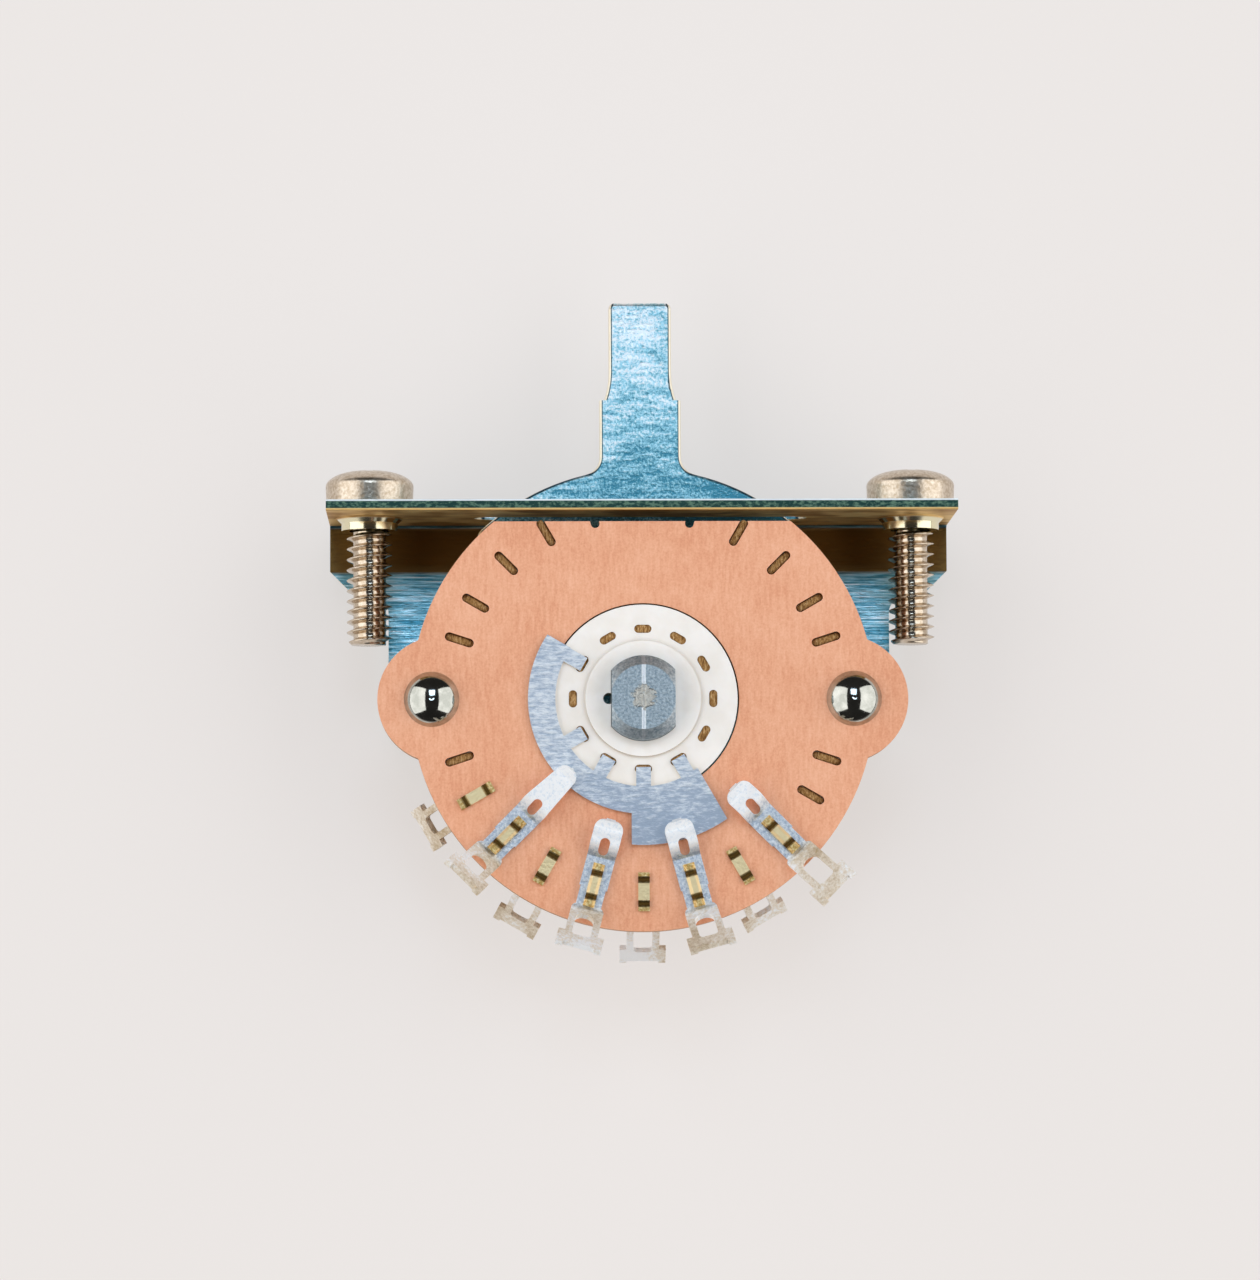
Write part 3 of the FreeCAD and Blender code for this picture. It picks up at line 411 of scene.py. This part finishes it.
def silverClip():
    # silver plate on pressed brass strip: a scattering nose, nearly white as a painted highlight, a cool grainy
    # body, a bright line where the clip bends over the wafer's edge, and terminals with patches of warm tarnish
    material, add, place = newMaterial("brass_strip_silver_pressed")
    away = fromAxis(add, place)
    bendR = slotR + silver["bendPast"]
    grain = add("TexNoise", {"Vector": place, "Scale": 1 / silver["grain"], "Detail": 3.0, "Roughness": 0.7})
    patch = add("TexNoise", {"Vector": place, "Scale": 1 / silver["patch"], "Detail": 3.0})
    patch = add("Math", {0: patch, 1: 0.65}, operation="MULTIPLY")
    patch = add("Math", {0: grain, 1: 0.35, 2: patch}, operation="MULTIPLY_ADD")
    body = add("ValToRGB", {0: grain}, stops=[(0.36, silver["dark"]), (0.62, silver["face"])])
    tarnish = add("ValToRGB", {0: patch}, stops=[(0.36, silver["tan"]), (0.6, silver["bright"]),
                                                 (0.5, silver["warm"])])
    outer = add("MapRange", {0: away, 1: bendR - 0.5, 2: bendR + 0.2})
    nose = add("MapRange", {0: away, 1: silver["bodyFrom"], 2: silver["noseTo"]})
    colour = add("Mix", {0: outer, 6: body, 7: tarnish}, **colourMix)
    # painted highlight: the nose nearly white
    rubbed = add("ValToRGB", {0: grain}, stops=[(0.34, silver["face"]), (0.5, silver["bright"])])
    colour = add("Mix", {0: nose, 6: colour, 7: rubbed}, **colourMix)
    ends = add("Math", {0: nose, 1: outer}, operation="MAXIMUM")
    rough = add("MapRange", {0: ends, 3: silver["clipRough"], 4: silver["endRough"]})
    ridge = add("Math", {0: away, 1: bendR}, operation="SUBTRACT")
    ridge = add("Math", {0: ridge}, operation="ABSOLUTE")
    ridge = add("MapRange", {0: ridge, 1: silver["ridgeHalf"], 2: 0.0, 3: 0.0, 4: silver["ridgeHigh"]})
    relief = add("Math", {0: grain, 1: 0.04, 2: ridge}, operation="MULTIPLY_ADD")
    return dress(material, {"Metallic": 1.0, "Base Color": colour, "Roughness": rough,
                            "Normal": add("Bump", {"Height": relief, "Distance": mm})})


def silverBlade():
    # silver plate on punched brass sheet: cool, rubbed along the sweep of the contacts, warm at its cut edges,
    # and greyer towards its lower end
    material, add, place = newMaterial("brass_sheet_silver_punched")
    z = add("SeparateXYZ", {0: place}, give="Z")
    forwards = add("SeparateXYZ", {0: add("TexCoord", give="Normal")}, give="Y")
    rubbed = add("Mapping", {"Vector": place, "Scale": (1 / 0.7, 1 / 0.3, 1 / 0.2)})
    grain = add("TexNoise", {"Vector": rubbed, "Scale": 1.0, "Detail": 4.0, "Roughness": 0.7})
    low = add("MapRange", {0: z, 1: axisZ / mm - 5.0, 2: axisZ / mm - 9.0, 3: 0.0, 4: -0.16})
    face = add("ValToRGB", {0: add("Math", {0: grain, 1: low})},
               stops=[(0.34, silver["dark"]), (0.6, silver["face"])])
    cut = add("MapRange", {0: add("Math", {0: forwards}, operation="ABSOLUTE"), 1: 0.8, 2: 0.4})
    colour = add("Mix", {0: cut, 6: face, 7: linear(silver["cut"])}, **colourMix)
    relief = add("Math", {0: grain, 1: 0.05}, operation="MULTIPLY")
    return dress(material, {"Metallic": 1.0, "Base Color": colour, "Roughness": silver["bladeRough"],
                            "Normal": add("Bump", {"Height": relief, "Distance": mm})})


# bar is a painted highlight along the ridge, pit the painted shade near the fold's ends
brass = {"face": "#F3DFA6", "dark": "#C59E58", "pit": "#5E4620", "bar": "#F6E3B4", "pitAt": 0.9,
         "pitHalf": 0.1, "pitDeep": 0.25, "barHalf": 0.6, "grain": 0.2, "grainDeep": 0.04, "roughness": 0.5}


def stapleBrass():
    # sheared brass strip folded over in its slot: a painted highlight on its ridge, and painted shade in a pit
    # near each end of the fold
    material, add, place = newMaterial("brass_strip_sheared")
    grain = add("TexNoise", {"Vector": place, "Scale": 1 / brass["grain"], "Detail": 3.0, "Roughness": 0.6})
    along = add("Math", {0: fromAxis(add, place), 1: slotR}, operation="SUBTRACT")
    along = add("Math", {0: along}, operation="ABSOLUTE")
    # painted shade in a pit near each end of the fold
    pit = add("Math", {0: along, 1: brass["pitAt"]}, operation="SUBTRACT")
    pit = add("Math", {0: pit}, operation="ABSOLUTE")
    pit = add("MapRange", {0: pit, 1: brass["pitHalf"] + 0.16, 2: brass["pitHalf"]})
    # painted highlight along the ridge's middle
    middle = add("MapRange", {0: along, 1: brass["barHalf"] + 0.1, 2: brass["barHalf"]})
    tone = add("ValToRGB", {0: grain}, stops=[(0.38, brass["dark"]), (0.62, brass["face"])])
    colour = add("Mix", {0: middle, 6: tone, 7: linear(brass["bar"])}, **colourMix)
    colour = add("Mix", {0: pit, 6: colour, 7: linear(brass["pit"])}, **colourMix)
    relief = add("Math", {0: grain, 1: brass["grainDeep"]}, operation="MULTIPLY")
    relief = add("Math", {0: pit, 1: -brass["pitDeep"], 2: relief}, operation="MULTIPLY_ADD")
    return dress(material, {"Metallic": 1.0, "Base Color": colour, "Roughness": brass["roughness"],
                            "Normal": add("Bump", {"Height": relief, "Distance": mm})})


flangeFront = flangeBox[0][1] / mm
zincBracket = zincSheet()
zincLever = zincBlank()
zincBar = zincTurned()
zincWasher = plainMetal("steel_washer_zinc_stamped", "#B4B8BA", "#8A8F93", 0.35, 0.3, 0.01)
nickelScrew = plainMetal("steel_screw_nickel_rolled", "#DDD0BF", "#C0AF99", 0.17, 0.5, 0.004)
nickelHead = plainMetal("steel_screw_nickel_headed", "#DDD0BF", "#B9A790", 0.3, 0.25, 0.02)
nickelRivet = plainMetal("brass_rivet_nickel_polished", "#C6C6BE", "#A9AAA2", 0.1, 0.8, 0.003)
boardFace = phenolicBoard()
boardCore = fibrousCore()
whiteNylon = nylonMoulding()
clipMetal = silverClip()
bladeMetal = silverBlade()
rawBrass = stapleBrass()
groundSteel = plainMetal("steel_pin_ground", "#A9A9A6", "#83837F", 0.28, 0.2, 0.006)
springWireSteel = plainMetal("steel_wire_drawn", "#9C9C9C", "#74746F", 0.3, 0.2, 0.005)
print("materials made")

nodeMaterials = {"mounting_bracket": zincBracket, "lever": zincLever, "shaft": zincBar,
                 "thrust_washer": zincWasher, "spacer": zincWasher, "mounting_screw": nickelScrew,
                 "rivet": nickelRivet, "wafer": boardFace, "rotor_blade": bladeMetal, "rotor": whiteNylon,
                 "contact": clipMetal, "staple": rawBrass, "detent_pin": groundSteel,
                 "detent_roller": groundSteel, "detent_spring": springWireSteel}
for nodeName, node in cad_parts.items():
    start = max((key for key in nodeMaterials if nodeName.startswith(key)), key=len)  # the closest name wins
    node.data.materials.clear()
    node.data.materials.append(nodeMaterials[start])
print("materials on", len(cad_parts), "nodes")


# Mounting screws: pan head with a cross recess, and a rolled thread

screw = {"pitch": 0.794, "crest": 1.75, "root": 1.24, "crestFlat": 0.07, "rootFlat": 0.4, "point": 0.35,
         "threadTo": -1.8, "runOut": 0.02, "rowsPerPitch": 14, "around": 72,
         "headBulge": 2.6, "headRound": 0.6, "headFrom": 1.7, "headEdge": 0.06, "headAround": 144,
         "recessArm": 1.75, "recessHalf": 0.42, "recessDeep": 1.0, "recessWall": 0.12, "armEnd": 0.08}


def threadGrid(low, high):
    # radius follows a V profile of the phase (height less one pitch for each turn), held back at the point
    rows = int((high - low) / screw["pitch"] * screw["rowsPerPitch"])
    z = np.linspace(low, high, rows)[:, None]
    angle = np.linspace(0, fullTurn, screw["around"], endpoint=False)[None]
    phase = (z / screw["pitch"] - angle / fullTurn) % 1
    slope = 1 - abs(phase - 0.5) * 2
    lift = np.clip((slope - screw["rootFlat"]) / (1 - screw["rootFlat"] - screw["crestFlat"]), 0, 1)
    r = screw["root"] + (screw["crest"] - screw["root"]) * lift
    r = np.minimum(r, screw["crest"] - screw["point"] + (z - low))
    r = np.minimum(r, screw["root"] + screw["runOut"] + (high - z) * 2)
    z = z + 0 * angle
    return np.stack([r * np.cos(angle), r * np.sin(angle), z], axis=-1)


def headGrid(radius, top):
    # an upright side and a crown whose height falls as (1 - share of radius ^ bulge) ^ round,
    # less a cross with sloping walls where the driver goes
    side = np.linspace(0.02, 1, 14)[:, None]
    part = np.linspace(1, 0.01, 56)[:, None]
    angle = np.linspace(0, fullTurn, screw["headAround"], endpoint=False)[None]
    n = screw["headBulge"]
    crownR = radius * part + 0 * angle
    crownZ = screw["headFrom"] + (top - screw["headFrom"]) * (1 - part ** n) ** screw["headRound"]
    x, y = crownR * np.cos(angle), crownR * np.sin(angle)
    arm = screw["recessArm"]
    slope = np.clip(1 - np.hypot(x, y) / arm, 0, 1)
    across = screw["recessHalf"] * (0.6 + 0.4 * slope) - np.minimum(abs(x), abs(y))
    inside = np.clip(across / screw["recessWall"], 0, 1) * np.clip(slope / screw["armEnd"], 0, 1)
    crownZ = crownZ - screw["recessDeep"] * inside * (0.35 + 0.65 * slope)
    sideZ = screw["headFrom"] * side + 0 * angle
    sideR = radius - screw["headEdge"] * (1 - side) + 0 * angle
    wall = np.stack([sideR * np.cos(angle), sideR * np.sin(angle), sideZ], axis=-1)
    crown = np.stack([x, y, crownZ], axis=-1)
    return np.concatenate([wall[:-1], crown], axis=0)


for hand in ("left", "right"):
    nodeName = "mounting_screw_" + hand
    low, high = np.array(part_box(nodeName)) / mm
    centre = (low + high) / 2 * (1, 1, 0)
    threadPoints = threadGrid(low[2], screw["threadTo"]) + centre
    headPoints = headGrid((high[0] - low[0]) / 2, high[2]) + centre
    thread = gridMesh("screw_thread_" + hand, threadPoints * mm, nickelScrew)
    head = gridMesh("screw_head_" + hand, headPoints * mm, nickelHead)
    for piece in (thread, head):
        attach(piece, "frame")
    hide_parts(nodeName)
print("screws made")


# Torn board core in the wafer's unused slots

core = {"clocks": [30, 45, 60, 72, 108, 120, 252, 288, 300, 315, 330], "longHalf": 1.1, "wideHalf": 0.31,
        "deepHalf": 0.45, "from": 0.32, "power": 0.5, "rings": 18, "around": 48}
waferBox = np.array(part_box("wafer")) / mm


def softened(wave):
    # a sine or cosine raised to a small power, with its sign kept
    return np.sign(wave) * abs(wave) ** core["power"]


def coreGrid(clock):
    # a squared ball: each half size times the softened sine or cosine of two angles, turned to the slot's
    # clock angle
    rise = np.linspace(-math.pi / 2, math.pi / 2, core["rings"])[1:-1, None]
    turn = np.linspace(0, fullTurn, core["around"], endpoint=False)[None]
    along = core["longHalf"] * softened(np.cos(rise)) * softened(np.cos(turn)) + slotR
    across = core["wideHalf"] * softened(np.cos(rise)) * softened(np.sin(turn))
    middle = waferBox[0][1] + core["from"] + core["deepHalf"]
    inwards = core["deepHalf"] * softened(np.sin(rise)) + 0 * turn + middle
    a = math.radians(clock)
    return np.stack([along * math.sin(a) + across * math.cos(a), inwards,
                     axisZ / mm + along * math.cos(a) - across * math.sin(a)], axis=-1)


for number, clock in enumerate(core["clocks"]):
    piece = gridMesh("slot_core_" + str(number + 1), coreGrid(clock) * mm, boardCore)
    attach(piece, "frame")
print("slot cores made")


# Painted shade: a brown ring seen through the rotor's oval holes, standing in for the dark inside them

holeShadeRing = {"inner": 5.0, "outer": 6.7, "half": 0.15, "from": 0.55, "around": 96}
rotorBox = np.array(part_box("rotor_blade_front")) / mm


def ringGrid():
    # a small rectangle of four corners carried once round the axis
    turn = np.linspace(fullTurn, 0, holeShadeRing["around"], endpoint=False)[:, None]
    corner = np.array([0, 1, 2, 3])[None]
    away = np.where((corner == 1) | (corner == 2), holeShadeRing["outer"], holeShadeRing["inner"]) + 0 * turn
    inwards = np.where(corner < 2, -holeShadeRing["half"], holeShadeRing["half"]) + rotorBox[0][1] + holeShadeRing["from"]
    return np.stack([away * np.sin(turn), inwards + 0 * turn, axisZ / mm + away * np.cos(turn)], axis=-1)


# painted shade behind the rotor's holes, in the torn board's brown
ringPiece = gridMesh("rotor_hole_shade_ring", ringGrid() * mm, boardCore, capStart=False, capEnd=False,
                     smooth=False, wrapAlong=True)
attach(ringPiece, "selector")
print("hole shade ring made")


# Detent spring: a close coil that dips under the roller's pin, with a hook round each spacer

spring = {"coil": 0.95, "wire": 0.2, "turnsPerMm": 2.35, "perTurn": 14, "sides": 8, "leave": 1.2,
          "overlap": 0.2, "hookGap": 0.03, "hookTurn": 0.86, "hookRows": 60, "leadRows": 24}


def springPath():
    # the middle line runs straight, round under the pin, and straight again: the bend's radius, the straight
    # part's slope, its length from the bend to the spacer, and its place along Y
    springBox = np.array(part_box("detent_spring")) / mm
    under = pinZ / mm - springBox[0][2] - (spring["coil"] + spring["wire"])
    rise, far = axisZ / mm - pinZ / mm, postX / mm
    tilt = math.atan2(rise, far) + math.asin(under / math.hypot(far, rise))
    run = math.hypot(far, rise) * math.cos(math.asin(under / math.hypot(far, rise)))
    y = (springBox[0][1] + springBox[1][1]) / 2
    return under, tilt, run, y


def springCoil(side, material):
    # half of the spring: the wire circles the path, which is the middle line plus radius times
    # (cos of phase inwards, sin of phase along Y)
    under, tilt, run, y = springPath()
    hook = spacerR + spring["wire"]
    straight = run - hook - spring["leave"] + spring["overlap"]
    bend = under * tilt
    total = 2 * (straight + bend)
    turns = total / 2 * spring["turnsPerMm"]
    s = total / 2 + side * np.linspace(0, total / 2, int(turns * spring["perTurn"]))
    mid = s - total / 2
    turned = np.clip(mid / under, -tilt, tilt)
    extra = mid - turned * under
    path = np.stack([under * np.sin(turned) + extra * np.cos(turned), y + 0 * s,
                     pinZ / mm - under * np.cos(turned) + extra * np.sin(turned)], axis=-1)
    ahead = np.stack([np.cos(turned), 0 * s, np.sin(turned)], axis=-1)
    inward = np.stack([-np.sin(turned), 0 * s, np.cos(turned)], axis=-1)
    phase = s * spring["turnsPerMm"] * fullTurn
    wave = np.cos(phase)[:, None] * inward + np.sin(phase)[:, None] * np.array([0, 1, 0])
    piece = tube("spring_coil_" + sideNames[side], (path + spring["coil"] * wave) * mm, ahead,
                 spring["wire"] * mm, spring["sides"], material)
    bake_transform(piece)
    return piece


def springHook(side, material):
    # the wire's end: out of the coil's last turn, eased outwards by u * u * (3 - 2u), then round the spacer
    tilt, y = springPath()[1], springPath()[3]
    hook = spacerR + spring["wire"] + spring["hookGap"]
    aim = np.array([np.cos(tilt), 0, np.sin(tilt)])
    out = np.array([np.sin(tilt), 0, -np.cos(tilt)])
    post = np.array([postX / mm, y, axisZ / mm])
    share = np.linspace(0, 1, spring["leadRows"])[:, None]
    eased = np.clip(share * 1.5, 0, 1)
    aside = spring["coil"] + (hook - spring["coil"]) * eased * eased * (3 - 2 * eased)
    lead = -(hook + spring["leave"]) * (1 - share) * aim + aside * out
    turn = np.linspace(0, fullTurn * spring["hookTurn"], spring["hookRows"])[1:, None]
    ring = hook * (np.cos(turn) * out + np.sin(turn) * aim)
    path = (post + np.concatenate([lead, ring])) * np.array([side, 1, 1])
    across = np.zeros_like(path) + np.array([0, 1, 0])
    piece = tube("spring_hook_" + sideNames[side], path * mm, across, spring["wire"] * mm, spring["sides"],
                 material)
    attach(piece, "frame")
    return piece


spacerR = (spacerBoxes[0][1][0] - spacerBoxes[0][0][0]) / 2 / mm
sideNames = {-1: "left", 1: "right"}
for side in sideNames:
    coil = springCoil(side, springWireSteel)
    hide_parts("detent_spring")
    for piece in (coil, springHook(side, springWireSteel)):
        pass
print("spring made")


# Stage: the switch lies on pale paper, as it was photographed, under a dome with a big softbox at each side

studio = {"paper": "#EBE6E3", "paperGap": 1.5, "paperReach": 640.0, "nearFrom": 25.0, "nearTo": 120.0,
          "nearGlow": 0.6, "domeRadius": 760.0, "fill": 0.3, "dark": 0.035, "turnFrom": -50.0, "turnTo": 120.0,
          "around": 96, "domeRings": 48}
lamps = {"away": 500.0, "azimuth": 57.0, "wide": 600.0, "high": 880.0, "power": 2.65, "white": "#FFFFFF",
         "blueHigh": 25.0, "blueSize": 170.0, "bluePower": 0.55, "blue": "#C6DDF4"}


def studioPaper():
    # matt paper that shows its own colour to the eye and in metal, and keeps the object's soft shadow near it;
    # seen from behind it is clear, so that the back of the switch can be looked at
    material, add, place = newMaterial("studio_paper_matt")
    nodes = material.node_tree.nodes
    dress(material, {"Base Color": linear(studio["paper"]), "Roughness": 0.9})
    glow = add("Emission", {"Color": linear(studio["paper"]), "Strength": 1.0})
    away = add("VectorMath", {0: place}, give="Value", operation="LENGTH")
    share = add("MapRange", {0: away, 1: studio["nearFrom"], 2: studio["nearTo"],
                             3: studio["nearGlow"], 4: 1.0})
    mixed = add("MixShader", {0: share, 1: nodes["Principled BSDF"].outputs[0], 2: glow})
    back = add("NewGeometry", give="Backfacing")
    final = add("MixShader", {0: back, 1: mixed, 2: add("BsdfTransparent")})
    fill(nodes["Material Output"], {"Surface": final})
    return material


def studioDome():
    # pale to the eye all round; in metal it is pale behind the object and a dark room in front of it;
    # to everything else it is a plain fill light
    material, add, place = newMaterial("studio_dome_cloth")
    cameraRay, glossRay, throughRay = add("LightPath", give=("Is Camera Ray", "Is Glossy Ray",
                                                             "Is Transmission Ray"))
    depth = add("SeparateXYZ", {0: place}, give="Y")
    mirrored = add("MapRange", {0: depth, 1: studio["turnFrom"], 2: studio["turnTo"],
                                3: studio["dark"], 4: 1.0})
    seen = add("Math", {0: cameraRay, 1: throughRay}, operation="MAXIMUM")
    known = add("Math", {0: seen, 1: glossRay}, operation="MAXIMUM")
    strength = add("MapRange", {0: known, 3: studio["fill"], 4: 0.0})
    strength = add("Math", {0: mirrored, 1: glossRay, 2: strength}, operation="MULTIPLY_ADD")
    strength = add("Math", {0: strength, 1: seen})
    glow = add("Emission", {"Color": linear(studio["paper"]), "Strength": strength})
    fill(material.node_tree.nodes["Material Output"], {"Surface": glow})
    return material


angle = np.linspace(fullTurn, 0, studio["around"], endpoint=False)[None]
ring = np.array([1.0, studio["paperReach"]])[:, None]
paperY = cadBox[1][1] / mm + studio["paperGap"]
paperGrid = np.stack([ring * np.cos(angle), paperY + 0 * ring * angle, ring * np.sin(angle)], axis=-1)
paperPiece = gridMesh("studio_floor", paperGrid * mm, studioPaper(), capEnd=False)
rise = np.radians(np.linspace(-89.5, 89.5, studio["domeRings"]))[:, None]
domeGrid = studio["domeRadius"] * np.stack([np.cos(rise) * np.cos(angle), np.cos(rise) * np.sin(angle),
                                            np.sin(rise) + 0 * angle], axis=-1)
domePiece = gridMesh("studio_dome", domeGrid * mm, studioDome())
for piece in (paperPiece, domePiece):
    piece.active_material.cycles.emission_sampling = "NONE"  # even glow needs no sampling of its own


def softbox(name, azimuth, high, wide, tall, power, colour):
    # an area lamp on a ring round the object: azimuth from the camera's side, high above it, both in degrees
    lamp = bpy.data.lights.new(name, "AREA")
    lamp.shape, lamp.size, lamp.size_y, lamp.energy = "RECTANGLE", wide * mm, tall * mm, power
    lamp.color = linear(colour)[:3]
    holder = bpy.data.objects.new(name, lamp)
    bpy.context.scene.collection.objects.link(holder)
    turn, lift = math.radians(azimuth), math.radians(high)
    away = lamps["away"] * mm
    holder.location = (away * math.sin(turn) * math.cos(lift), -away * math.cos(turn) * math.cos(lift),
                       axisZ + away * math.sin(lift))
    holder.rotation_euler = (math.pi / 2 - lift, 0, turn)
    holder.visible_camera = False


for hand, side in (("left", -1), ("right", 1)):
    softbox("softbox_" + hand, side * lamps["azimuth"], 0, lamps["wide"], lamps["high"], lamps["power"],
            lamps["white"])
softbox("window_blue", 0, lamps["blueHigh"], lamps["blueSize"], lamps["blueSize"], lamps["bluePower"],
        lamps["blue"])

# The photograph's camera, fitted to the holes, rivets, shaft and edges that it shows
view = {"place": (-11.2, -447.9, -49.3), "pitch": 5.0, "yaw": 1.305, "roll": 0.244, "lens": 166.1}
camera = bpy.data.objects.new("camera", bpy.data.cameras.new("camera"))
bpy.context.scene.collection.objects.link(camera)
camera.location = [v * mm for v in view["place"]]
camera.rotation_euler = [math.radians(v) for v in (90 + view["pitch"], view["roll"], -view["yaw"])]
camera.data.lens, camera.data.sensor_width = view["lens"], 36.0
camera.data.clip_start, camera.data.clip_end = 0.01, 10.0
bpy.context.scene.camera = camera
bpy.context.scene.view_settings.view_transform = "Standard"
print("stage set")
